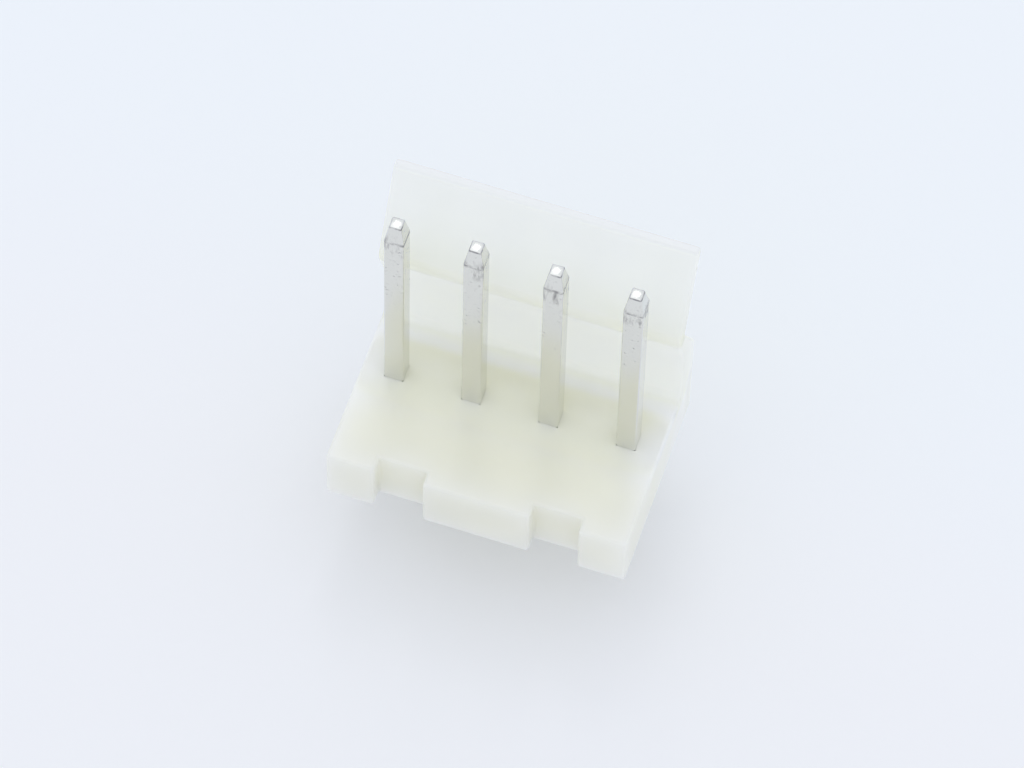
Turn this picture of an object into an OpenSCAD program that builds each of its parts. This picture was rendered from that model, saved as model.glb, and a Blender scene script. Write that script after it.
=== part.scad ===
// Friction-lock pin header for a circuit board: one moulded housing and a row of square pins.
// Frame: the origin is on the board plane at the middle of the pin row. The row runs along X, the
// locking wall stands on the +Y side, and the pins point up along +Z. All sizes are in millimetres.

/* [Pins] */
// Number of pins in the row
pin_count = 4; // [3:1:12]
// Distance from one pin's axis to the next
pitch = 2.54; // [2:0.01:5.08]
// Side of the square wire
pin_side = 0.64; // [0.5:0.01:0.8]
// Height of the pin tips above the top of the base
pin_reach = 9; // [7:0.1:12]
// Length of the solder tails below the board plane
tail_reach = 3.3; // [2:0.1:5]
// Height of the coined taper at the mating tip
tip_taper = 0.7; // [0.3:0.05:1.2]
// Side of the small flat at the mating tip
tip_flat = 0.39; // [0.2:0.01:0.45]
// Height of the taper at the end of the tail
tail_taper = 0.45; // [0.2:0.05:0.8]
// Side of the small flat at the end of the tail
tail_flat = 0.4; // [0.2:0.01:0.45]
// Gap between a pin and its hole, on each side
pin_gap = 0; // [0:0.01:0.05]

/* [Base] */
// Height of the base above the board
base_height = 2.25; // [1.8:0.05:3.5]
// From the pin row to the front face
base_front = 3.62; // [2.8:0.02:4.5]
// From the pin row to the back face
base_back = 3.14; // [2.9:0.02:3.5]
// From the axis of an end pin to the end face
end_margin = 1.1; // [1:0.02:1.5]
// Length along the row of the relief round each tail, underneath
relief_length = 1.5; // [1:0.05:1.7]
// Width of the relief from front to back
relief_width = 1.8; // [1:0.05:3]
// Depth of the relief
relief_depth = 0.3; // [0.1:0.05:0.6]

/* [Keying grooves] */
// Width of each groove in the front face
groove_width = 1.6; // [0.8:0.05:1.8]
// Depth of each groove
groove_depth = 0.5; // [0.2:0.05:1]

/* [Locking wall] */
// Height of the wall above the top of the base
wall_height = 7.32; // [7:0.02:9]
// From the pin row to the inner face of the wall's root
root_distance = 1.95; // [1.85:0.01:2.05]
// Height of the root's inner face above the top of the base
root_height = 2.4; // [2:0.05:2.5]
// Radius of the fillet between the root and the top of the base
root_fillet = 0.25; // [0.1:0.05:0.6]
// Height of the shoulder at the back of the root above the top of the base
shoulder_height = 1.72; // [1:0.02:2.2]
// From the pin row to the face of the ridge
ridge_distance = 1.4; // [1.35:0.01:1.5]
// Height of the ridge above the top of the base
ridge_height = 4.15; // [4:0.05:4.4]
// Thickness of the wall at the ridge
ridge_thickness = 0.5; // [0.3:0.02:0.66]
// Radius of the bend on the ridge side
bend_radius = 0.9; // [0.7:0.05:1.2]
// From the pin row to the inner face of the wall's top edge
top_distance = 2.84; // [2.6:0.02:3.2]
// Thickness of the wall at its top edge
top_thickness = 0.36; // [0.3:0.02:0.6]

/* [Hidden] */
$fn = 64;
row_length = (pin_count - 1) * pitch;
body_length = row_length + 2 * end_margin;pin_top = base_height + pin_reach;
hole_side = pin_side + 2 * pin_gap;
groove_at = (row_length - pitch) / 2;
overcut = 0.1;

// Points of the side outline are (distance behind the pin row, height above the board).
root_top = [root_distance, base_height + root_height];
shoulder = [base_back, base_height + shoulder_height];
top_front = [top_distance, base_height + wall_height];
top_back = top_front + [top_thickness, 0];

// The bend is two arcs round one centre, and each leg's two faces run straight off them.
bend_centre = [ridge_distance + bend_radius, base_height + ridge_height];
outer_radius = bend_radius - ridge_thickness;

// Where a straight face from point p touches the arc of radius r: turn is 1 above it and -1 below.
function touch(p, r, turn) =
    let (reach = p - bend_centre)
    let (angle = atan2(reach[1], reach[0]) + turn * acos(r / norm(reach)))
    bend_centre + r * [cos(angle), sin(angle)];

inner_low = touch(root_top, bend_radius, -1);
inner_high = touch(top_front, bend_radius, 1);
outer_low = touch(shoulder, outer_radius, -1);
outer_high = touch(top_back, outer_radius, 1);

// The two inner faces would meet here if the ridge were sharp.
to_low = (inner_low - bend_centre) / bend_radius;
to_high = (inner_high - bend_centre) / bend_radius;
ridge_corner = bend_centre + bend_radius * (to_low + to_high) / (1 + to_low * to_high);

// Runs a side outline (Y across, Z up) along the row, centred.
module along_row(length) {
    rotate([90, 0, 90])
        linear_extrude(height = length, center = true)
            children();
}

// What is cut from the sharp ridge to leave its round face.
module ridge_rounding() {
    difference() {
        polygon([inner_low, ridge_corner - [overcut, 0], inner_high]);
        translate(bend_centre)
            circle(r = bend_radius);
    }
}

// Base and wall seen from the end: the root, the lower leg, the bend and the upper leg.
module side_outline() {
    difference() {
        polygon([
            [-base_front, 0],
            [-base_front, base_height],
            [root_distance - root_fillet, base_height],
            [root_distance, base_height + root_fillet],
            root_top,
            ridge_corner,
            top_front,
            top_back,
            outer_high,
            outer_low,
            shoulder,
            [base_back, 0]
        ]);
        ridge_rounding();
        translate(bend_centre)
            circle(r = outer_radius);
        translate([root_distance - root_fillet, base_height + root_fillet])
            circle(r = root_fillet);
    }
}

// A block cut from the front face over the full height of the base.
module keying_groove() {
    translate([-groove_width / 2, -base_front - overcut, -overcut])
        cube([groove_width, groove_depth + overcut, base_height + 2 * overcut]);
}

// The square hole of one pin, with the shallow relief round its tail underneath.
module pin_seat() {
    translate([-hole_side / 2, -hole_side / 2, -overcut])
        cube([hole_side, hole_side, base_height + 2 * overcut]);
    translate([-relief_length / 2, -relief_width / 2, -overcut])
        cube([relief_length, relief_width, relief_depth + overcut]);
}

// Moves its child to the place of pin i, counted from the left.
module at_pin(i) {
    translate([(i - 1) * pitch - row_length / 2, 0, 0])
        children();
}

module housing() {
    color("#e9ebdd")
    difference() {
        along_row(body_length)
            side_outline();
        for (side = [-1, 1])
            translate([side * groove_at, 0, 0])
                keying_groove();
        for (i = [1:pin_count])
            at_pin(i)
                pin_seat();
    }
}

// Front view of a pin: a straight shank that narrows at both ends.
module pin_outline() {
    polygon([
        [-pin_side / 2, -tail_reach + tail_taper],
        [-tail_flat / 2, -tail_reach],
        [tail_flat / 2, -tail_reach],
        [pin_side / 2, -tail_reach + tail_taper],
        [pin_side / 2, pin_top - tip_taper],
        [tip_flat / 2, pin_top],
        [-tip_flat / 2, pin_top],
        [-pin_side / 2, pin_top - tip_taper]
    ]);
}

// The same outline from the front and from the side, so both ends are four-sided.
module pin(i) {
    color("#c9c9c4")
    at_pin(i)
        intersection() {
            along_row(pin_side)
                pin_outline();
            rotate([0, 0, 90])
                along_row(pin_side)
                    pin_outline();
        }
}

housing();
for (i = [1:pin_count]) {
    pin(i);
}
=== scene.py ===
import math

import bmesh
import bpy
from mathutils import Matrix, Vector


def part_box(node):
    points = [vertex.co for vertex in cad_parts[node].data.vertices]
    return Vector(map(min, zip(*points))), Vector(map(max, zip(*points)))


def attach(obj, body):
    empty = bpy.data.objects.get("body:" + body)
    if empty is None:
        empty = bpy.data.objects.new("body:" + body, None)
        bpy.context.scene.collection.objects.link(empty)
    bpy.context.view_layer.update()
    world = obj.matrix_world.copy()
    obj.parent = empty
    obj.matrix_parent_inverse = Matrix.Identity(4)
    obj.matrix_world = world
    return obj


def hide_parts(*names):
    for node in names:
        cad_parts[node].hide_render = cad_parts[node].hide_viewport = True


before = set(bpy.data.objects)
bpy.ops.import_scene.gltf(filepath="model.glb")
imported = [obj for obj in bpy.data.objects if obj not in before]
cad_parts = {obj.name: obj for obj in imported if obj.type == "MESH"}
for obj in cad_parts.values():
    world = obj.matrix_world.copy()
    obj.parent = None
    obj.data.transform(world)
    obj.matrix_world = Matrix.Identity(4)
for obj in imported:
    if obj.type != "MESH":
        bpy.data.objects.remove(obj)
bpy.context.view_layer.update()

MM = 0.001

# Heights above the board plane
BASE_TOP = 2.25 * MM
WALL_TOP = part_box("housing")[1].z
PIN_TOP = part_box("pin_1")[1].z
TAIL_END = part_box("pin_1")[0].z
PINS = ["pin_1", "pin_2", "pin_3", "pin_4"]

# Edge radii: what the mould leaves on the nylon, and the drawing die and coining tool on the wire
MOULD_RADIUS = 0.11 * MM
WIRE_RADIUS = 0.05 * MM
TIP_RADIUS = 0.03 * MM

# Points of the CAD triangles that are this close are one point
WELD_DISTANCE = 0.0005 * MM

# Angles in degrees: faces that turn less lie in one plane, edges that turn more are corners to round, and
# what is left above the last one looks sharp
FLAT_TURN = 0.5
MOULD_CORNER = 25
WIRE_CORNER = 45
SHARP_CORNER = 40

# View of the photograph: the camera turns about the point in the middle of its frame
LOOK_AT = Vector((0.038, -0.238, 4.0)) * MM
VIEW_AZIMUTH = math.radians(16.958)
VIEW_ELEVATION = math.radians(60.526)
VIEW_ROLL = math.radians(1.717)
VIEW_DISTANCE = 222.9 * MM
SENSOR_WIDTH = 36.0
LENS = 253.2

# The colour sockets of a Mix node, which share their names with its other sockets
MIX_A, MIX_B, MIX_RESULT = 6, 7, 2


def linear(hex_code):
    """An sRGB hex colour as linear RGBA."""
    parts = [int(hex_code[i:i + 2], 16) / 255 for i in (1, 3, 5)]
    return [c / 12.92 if c <= 0.04045 else ((c + 0.055) / 1.055) ** 2.4 for c in parts] + [1.0]


def add(tree, kind, feeds=None, **settings):
    """Adds a node with its settings, and sets its inputs or links them."""
    made = tree.nodes.new(kind)
    for name, value in settings.items():
        setattr(made, name, value)
    for name, value in (feeds or {}).items():
        if isinstance(value, bpy.types.NodeSocket):
            tree.links.new(value, made.inputs[name])
        else:
            made.inputs[name].default_value = value
    return made


def new_material(name):
    """An empty material: its node tree and its output node."""
    material = bpy.data.materials.new(name)
    material.use_nodes = True
    material.node_tree.nodes.clear()
    return material, material.node_tree, add(material.node_tree, "ShaderNodeOutputMaterial")


def per_mm(size):
    """Texture scale for features of a size in millimetres."""
    return 1 / (size * MM)


def natural_nylon():
    # Undyed nylon 66, injection moulded against a finely ground tool. To the eye: milky ivory that lets
    # light through where it is thin, yellower where it is thick, with a soft satin sheen. Its tints also
    # carry painted light and painted shade.
    material, tree, output = new_material("natural_nylon_moulded")
    place = add(tree, "ShaderNodeTexCoord").outputs["Object"]
    axes = add(tree, "ShaderNodeSeparateXYZ", {"Vector": place}).outputs
    x, y, z = axes["X"], axes["Y"], axes["Z"]
    from_middle = add(tree, "ShaderNodeMath", {0: x}, operation="ABSOLUTE").outputs["Value"]
    from_row = add(tree, "ShaderNodeMath", {0: y}, operation="ABSOLUTE").outputs["Value"]

    # Soft masks: each goes from 0 at the first place to 1 at the second
    masks = {}
    for name, measure, none, full in (
            ("low", z, BASE_TOP + 0.5 * MM, BASE_TOP),  # base, and the foot of the wall
            ("deep", z, BASE_TOP - 0.1 * MM, BASE_TOP - 0.6 * MM),  # base without its top
            ("upper", z, BASE_TOP - 0.3 * MM, BASE_TOP - 0.05 * MM),  # top of the base, and the wall
            ("over", z, BASE_TOP + 3.7 * MM, BASE_TOP + 4.1 * MM),  # wall above its bend
            ("under", z, BASE_TOP + 6.4 * MM, BASE_TOP + 4.0 * MM),  # fades out above the bend
            ("edge", z, WALL_TOP - 0.07 * MM, WALL_TOP),  # the wall's top edge
            ("front", y, -1.2 * MM, -3.4 * MM),  # front of the base
            ("ahead", y, 1.0 * MM, -0.8 * MM),  # ahead of the pins
            ("row", y, -2.4 * MM, 0.6 * MM),  # the pins, and all behind them
            ("rear", y, 1.8 * MM, 1.2 * MM),  # all ahead of the wall's root
            ("behind", y, 2.2 * MM, 2.8 * MM),  # back of the base and the wall
            ("near", from_row, 1.5 * MM, 0.45 * MM),  # a strip along the pins
            ("sides", from_middle, 3.7 * MM, 4.7 * MM)):  # both ends of the row
        masks[name] = add(tree, "ShaderNodeMapRange", {
            "Value": measure, "From Min": none, "From Max": full},
            interpolation_type="SMOOTHSTEP").outputs["Result"]
    for name, operation, one, other in (
            ("outer", "MAXIMUM", "ahead", "behind"),
            ("block", "MAXIMUM", "outer", "deep"),
            ("base", "MULTIPLY", "low", "block"),  # thick nylon, without the corner at the wall's root
            ("seat", "MULTIPLY", "near", "low"),  # where the pins squeeze the base
            ("top", "MULTIPLY", "low", "rear"),
            ("pale", "MAXIMUM", "base", "top"),  # where the base's tints hold
            ("middle", "SUBTRACT", "row", "behind"),  # along the row, without the back
            ("across", "MULTIPLY", "sides", "middle"),
            ("ends", "MULTIPLY", "across", "upper"),  # on top, beside the last pins
            ("bend", "MULTIPLY", "over", "under")):  # a band along the bend
        masks[name] = add(tree, "ShaderNodeMath", {
            0: masks[one], 1: masks[other]}, operation=operation).outputs["Value"]

    # Tints, with light and shade painted in. The base is painted palest along the row, as painted light
    # against the shade of the pins and the wall, and whiter still at the row's ends, as painted light
    # where light comes in from the side. It is greyer at its back, and greyer still at its front, which is
    # painted shade. The wall's bend is painted yellower and darker, and its top edge duller, both as
    # painted shade.
    tints = {}
    for name, mask, plain, full in (
            # painted light: near white along the row, where the pins and the wall shade the base
            ("inner", "middle", "#edecdb", "#fefdee"),
            # painted light: whiter still beside the last pins
            ("base_row_and_ends_painted_light", "ends", "inner", "#fdfef7"),
            # painted shade: a yellower, darker band along the wall's bend
            ("wall_bend_painted_shade", "bend", "#fffed2", "#e0df9e"),
            # painted shade: a duller, darker line along the wall's top edge
            ("wall", "edge", "wall_bend_painted_shade", "#d8d2bc"),
            ("body", "pale", "wall", "base_row_and_ends_painted_light"),
            # painted shade: the front of the base is painted greyer
            ("whole", "front", "body", "#e4e3d5")):
        tints[name] = add(tree, "ShaderNodeMix", {
            "Factor": masks[mask],
            MIX_A: tints[plain] if plain in tints else linear(plain),
            MIX_B: tints[full] if full in tints else linear(full)},
            data_type="RGBA").outputs[MIX_RESULT]

    # Milky clouds of crystallised nylon, about 2 mm across, with soft edges
    cloud = add(tree, "ShaderNodeTexNoise", {
        "Vector": place, "Scale": per_mm(2.0), "Detail": 1.0, "Roughness": 0.4}).outputs["Fac"]
    clear, cloudy = 0.2, 0.8
    milky = add(tree, "ShaderNodeMapRange", {
        "Value": cloud, "From Min": clear, "From Max": cloudy, "To Min": 0.0, "To Max": 0.3},
        interpolation_type="SMOOTHSTEP").outputs["Result"]
    colour = add(tree, "ShaderNodeMix", {
        "Factor": milky, MIX_A: tints["whole"], MIX_B: linear("#f5f3e0")},
        data_type="RGBA").outputs[MIX_RESULT]
    sheen = add(tree, "ShaderNodeMapRange", {
        "Value": cloud, "From Min": clear, "From Max": cloudy, "To Min": 0.29, "To Max": 0.40},
        interpolation_type="SMOOTHSTEP").outputs["Result"]

    # Grain of the ground tool, drawn at 0.07 mm, coarser than the real one so that it shows
    grain = add(tree, "ShaderNodeTexNoise", {
        "Vector": place, "Scale": per_mm(0.07), "Detail": 2.0, "Roughness": 0.6}).outputs["Fac"]
    bump = add(tree, "ShaderNodeBump", {
        "Height": grain, "Strength": 0.12, "Distance": 0.01 * MM}).outputs["Normal"]

    # How deep light goes: far in the quickly cooled wall, less in the base, and least where the pins
    # squeeze it. The masks say by how many powers of ten less.
    wall_depth, base_depth, seat_depth = 20.0 * MM, 3.0 * MM, 0.02 * MM
    thick = add(tree, "ShaderNodeMath", {
        0: masks["base"], 1: math.log10(wall_depth / base_depth)}, operation="MULTIPLY").outputs["Value"]
    tight = add(tree, "ShaderNodeMath", {
        0: masks["seat"], 1: math.log10(wall_depth / seat_depth)}, operation="MULTIPLY").outputs["Value"]
    powers = add(tree, "ShaderNodeMath", {0: thick, 1: tight}, operation="MAXIMUM").outputs["Value"]
    share = add(tree, "ShaderNodeMath", {0: 0.1, 1: powers}, operation="POWER").outputs["Value"]
    depth = add(tree, "ShaderNodeMath", {0: share, 1: wall_depth}, operation="MULTIPLY").outputs["Value"]

    # The moulded skin scatters the rest, 0.15 of the light
    shader = add(tree, "ShaderNodeBsdfPrincipled", {
        "Base Color": colour, "Roughness": sheen, "IOR": 1.53, "Subsurface Weight": 0.85,
        "Subsurface Radius": (1.0, 1.0, 1.0), "Subsurface Scale": depth, "Normal": bump})
    tree.links.new(shader.outputs["BSDF"], output.inputs["Surface"])
    return material


def tinned_brass():
    # Square brass wire, drawn, tin plated, sheared and coined at the tips. To the eye: bright silver-grey
    # with faint lengthwise drawing lines, dull dark scuffs where the coining tool bit below the tip, and a
    # broken dark outline round the coined flat, which is painted shade.
    material, tree, output = new_material("tinned_brass_drawn")
    place = add(tree, "ShaderNodeTexCoord").outputs["Object"]
    height = add(tree, "ShaderNodeSeparateXYZ", {"Vector": place}).outputs["Z"]
    drop = add(tree, "ShaderNodeMath", {0: PIN_TOP, 1: height}, operation="SUBTRACT").outputs["Value"]

    def band(middle, half, fade):
        """1 round a distance below the tip, 0 beyond its half width and fade (mm)."""
        off = add(tree, "ShaderNodeMath", {0: drop, 1: middle * MM}, operation="SUBTRACT").outputs["Value"]
        size = add(tree, "ShaderNodeMath", {0: off}, operation="ABSOLUTE").outputs["Value"]
        return add(tree, "ShaderNodeMapRange", {
            "Value": size, "From Min": (half + fade) * MM, "From Max": half * MM},
            interpolation_type="SMOOTHSTEP").outputs["Result"]

    def patches(width, length, low, high, shift):
        """Patches of a width across and a length along the wire (mm), between two levels of the noise."""
        spread = add(tree, "ShaderNodeMapping", {
            "Vector": place, "Location": (shift, shift, shift),
            "Scale": (per_mm(width), per_mm(width), per_mm(length))}).outputs["Vector"]
        noise = add(tree, "ShaderNodeTexNoise", {
            "Vector": spread, "Scale": 1.0, "Detail": 3.0, "Roughness": 0.55}).outputs["Fac"]
        return add(tree, "ShaderNodeMapRange", {
            "Value": noise, "From Min": low, "From Max": high}).outputs["Result"]

    # Dark marks: scuffs below the tip, and painted shade round the flat
    scuffs_and_rim_shade = 0.0
    for where, marks in (
            (band(0.73, 0.02, 0.08), patches(0.3, 0.3, 0.38, 0.60, 0.0)),  # broken line below the taper
            (band(0.95, 0.2, 0.45), patches(0.2, 0.8, 0.52, 0.71, 3.1)),  # smears drawn down from it
            (band(2.2, 1.2, 1.6), patches(0.13, 0.11, 0.62, 0.78, 7.7)),  # a few pits
            (band(0.03, 0.02, 0.01), patches(0.3, 0.3, 0.35, 0.55, 5.3))):  # painted shade: a broken dark outline round the flat
        darkened = add(tree, "ShaderNodeMath", {0: where, 1: marks}, operation="MULTIPLY").outputs["Value"]
        scuffs_and_rim_shade = add(tree, "ShaderNodeMath", {0: scuffs_and_rim_shade, 1: darkened}, operation="MAXIMUM").outputs["Value"]
    colour = add(tree, "ShaderNodeMix", {
        "Factor": scuffs_and_rim_shade, MIX_A: linear("#e6e6e0"), MIX_B: linear("#a09f9f")},
        data_type="RGBA").outputs[MIX_RESULT]
    dull = add(tree, "ShaderNodeMapRange", {
        "Value": scuffs_and_rim_shade, "To Min": 0.2, "To Max": 0.45}).outputs["Result"]

    # Drawing lines: 0.05 mm across the wire, running 3 mm along it
    lines = patches(0.05, 3.0, 0.0, 1.0, 0.0)
    bump = add(tree, "ShaderNodeBump", {
        "Height": lines, "Strength": 0.25, "Distance": 0.004 * MM}).outputs["Normal"]

    shader = add(tree, "ShaderNodeBsdfPrincipled", {
        "Base Color": colour, "Metallic": 1.0, "Roughness": dull, "Normal": bump})
    tree.links.new(shader.outputs["BSDF"], output.inputs["Surface"])
    return material


def light_table():
    # White acrylic sheet with a matted face, faintly lit from below. To the eye: an even pale ground that
    # keeps shadows light, with painted light that makes its far side a little bluer.
    material, tree, output = new_material("white_acrylic_table")
    place = add(tree, "ShaderNodeTexCoord").outputs["Object"]
    # painted light: the ground turns a little bluer towards its far side
    far = add(tree, "ShaderNodeMapRange", {
        "Value": add(tree, "ShaderNodeSeparateXYZ", {"Vector": place}).outputs["Y"],
        "From Min": -4.0 * MM, "From Max": 12.0 * MM}, interpolation_type="SMOOTHSTEP").outputs["Result"]
    ground = add(tree, "ShaderNodeMix", {
        "Factor": far, MIX_A: linear("#ececec"), MIX_B: linear("#ebeeef")},
        data_type="RGBA").outputs[MIX_RESULT]
    shader = add(tree, "ShaderNodeBsdfPrincipled", {
        "Base Color": ground, "Roughness": 0.6, "IOR": 1.49,
        "Emission Color": linear("#f2f5ff"), "Emission Strength": 0.075})
    tree.links.new(shader.outputs["BSDF"], output.inputs["Surface"])
    return material


def whole_copy(node):
    """A bmesh copy of a CAD node with its loose triangles merged into flat faces."""
    bm = bmesh.new()
    bm.from_mesh(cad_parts[node].data)
    bmesh.ops.remove_doubles(bm, verts=bm.verts, dist=WELD_DISTANCE)
    bmesh.ops.dissolve_limit(bm, verts=bm.verts, edges=bm.edges, angle_limit=math.radians(FLAT_TURN))
    return bm


def corners(bm, least):
    """The edges whose faces turn by more than the least angle, in degrees."""
    return [e for e in bm.edges if e.is_manifold and e.calc_face_angle(0.0) > math.radians(least)]


def round_edges(bm, edges, radius, segments):
    """Rounds the edges by a small radius."""
    bmesh.ops.bevel(bm, geom=edges, offset=radius, offset_type="OFFSET", segments=segments,
                    profile=0.5, affect="EDGES", clamp_overlap=True, material=-1)


def piece_from(bm, name, node, material):
    """Makes the bmesh a piece that stands for its CAD node. Unrounded corners stay sharp to the eye."""
    for face in bm.faces:
        face.smooth = True
    for edge in bm.edges:
        edge.smooth = edge.calc_face_angle(0.0) < math.radians(SHARP_CORNER)
    mesh = bpy.data.meshes.new(name)
    bm.to_mesh(mesh)
    bm.free()
    mesh.materials.append(material)
    piece = bpy.data.objects.new(name, mesh)
    bpy.context.scene.collection.objects.link(piece)
    # The broad faces are shaded flat, and the narrow roundings turn between them
    flat = piece.modifiers.new("flat_faces", "WEIGHTED_NORMAL")
    flat.keep_sharp = True
    flat.weight = 100
    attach(piece, "root")
    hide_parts(node)


def housing_moulding(material):
    """Base and locking wall in one piece, rounded all over but for the pin holes and their reliefs."""
    bm = whole_copy("housing")
    lo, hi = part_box("housing")
    at_end = 0.01 * MM
    holes_front, holes_back = -2.5 * MM, 1.2 * MM

    def outside(edge):
        middle = (edge.verts[0].co + edge.verts[1].co) / 2
        return (middle.x - lo.x < at_end or hi.x - middle.x < at_end
                or middle.y < holes_front or middle.y > holes_back)

    round_edges(bm, [e for e in corners(bm, MOULD_CORNER) if outside(e)], MOULD_RADIUS, segments=4)
    piece_from(bm, "housing_moulding", "housing", material)


def square_pin(node, material):
    """One drawn wire with rounded corners and coined ends."""
    bm = whole_copy(node)
    least_rise = 0.2 * MM
    lengthwise = [e for e in corners(bm, WIRE_CORNER)
                  if abs(e.verts[0].co.z - e.verts[1].co.z) > least_rise]
    round_edges(bm, lengthwise, WIRE_RADIUS, segments=3)
    round_edges(bm, corners(bm, WIRE_CORNER), TIP_RADIUS, segments=2)
    piece_from(bm, node + "_wire", node, material)


def floor_sheet(material):
    """The pale ground that the tails stand on, 3 m square."""
    bm = bmesh.new()
    bmesh.ops.create_grid(bm, x_segments=1, y_segments=1, size=1.5)
    bmesh.ops.translate(bm, verts=bm.verts, vec=(0, 0, TAIL_END))
    mesh = bpy.data.meshes.new("floor_sheet")
    bm.to_mesh(mesh)
    bm.free()
    mesh.materials.append(material)
    floor = bpy.data.objects.new("floor_sheet", mesh)
    bpy.context.scene.collection.objects.link(floor)


def softbox(name, toward, distance, size, watts, colour):
    """A square area light that faces the object."""
    light = bpy.data.lights.new(name, "AREA")
    light.size = size
    light.energy = watts
    light.color = linear(colour)[:3]
    lamp = bpy.data.objects.new(name, light)
    direction = Vector(toward).normalized()
    lamp.location = LOOK_AT + direction * distance
    lamp.rotation_euler = direction.to_track_quat("Z", "Y").to_euler()
    bpy.context.scene.collection.objects.link(lamp)


def room_light(colour, strength):
    """Even light from all round, as in a white tent."""
    world = bpy.data.worlds.new("light_tent")
    world.use_nodes = True
    world.node_tree.nodes.clear()
    sky = add(world.node_tree, "ShaderNodeBackground", {"Color": linear(colour), "Strength": strength})
    output = add(world.node_tree, "ShaderNodeOutputWorld")
    world.node_tree.links.new(sky.outputs["Background"], output.inputs["Surface"])
    bpy.context.scene.world = world


def photo_camera():
    """A long lens at the photograph's viewing angle."""
    data = bpy.data.cameras.new("photo_camera")
    data.sensor_width = SENSOR_WIDTH
    data.lens = LENS
    data.clip_start = 10 * MM
    data.clip_end = 10.0
    camera = bpy.data.objects.new("photo_camera", data)
    turn = (Matrix.Rotation(VIEW_AZIMUTH, 4, "Z")
            @ Matrix.Rotation(math.pi / 2 - VIEW_ELEVATION, 4, "X")
            @ Matrix.Rotation(VIEW_ROLL, 4, "Z"))
    back = turn.to_3x3() @ Vector((0, 0, 1))
    camera.matrix_world = Matrix.Translation(LOOK_AT + back * VIEW_DISTANCE) @ turn
    bpy.context.scene.collection.objects.link(camera)
    bpy.context.scene.camera = camera


nylon = natural_nylon()
tin = tinned_brass()
housing_moulding(nylon)
for pin in PINS:
    square_pin(pin, tin)
floor_sheet(light_table())
room_light(colour="#f2f6ff", strength=0.955)
softbox("overhead_softbox", toward=(0.0, 0.0, 1.0), distance=0.4, size=0.3, watts=0.08, colour="#ffffff")
softbox("tip_light", toward=(-0.14, 0.47, 0.87), distance=0.4, size=0.1, watts=0.06, colour="#ffffff")
photo_camera()
bpy.context.scene.view_settings.view_transform = "Standard"
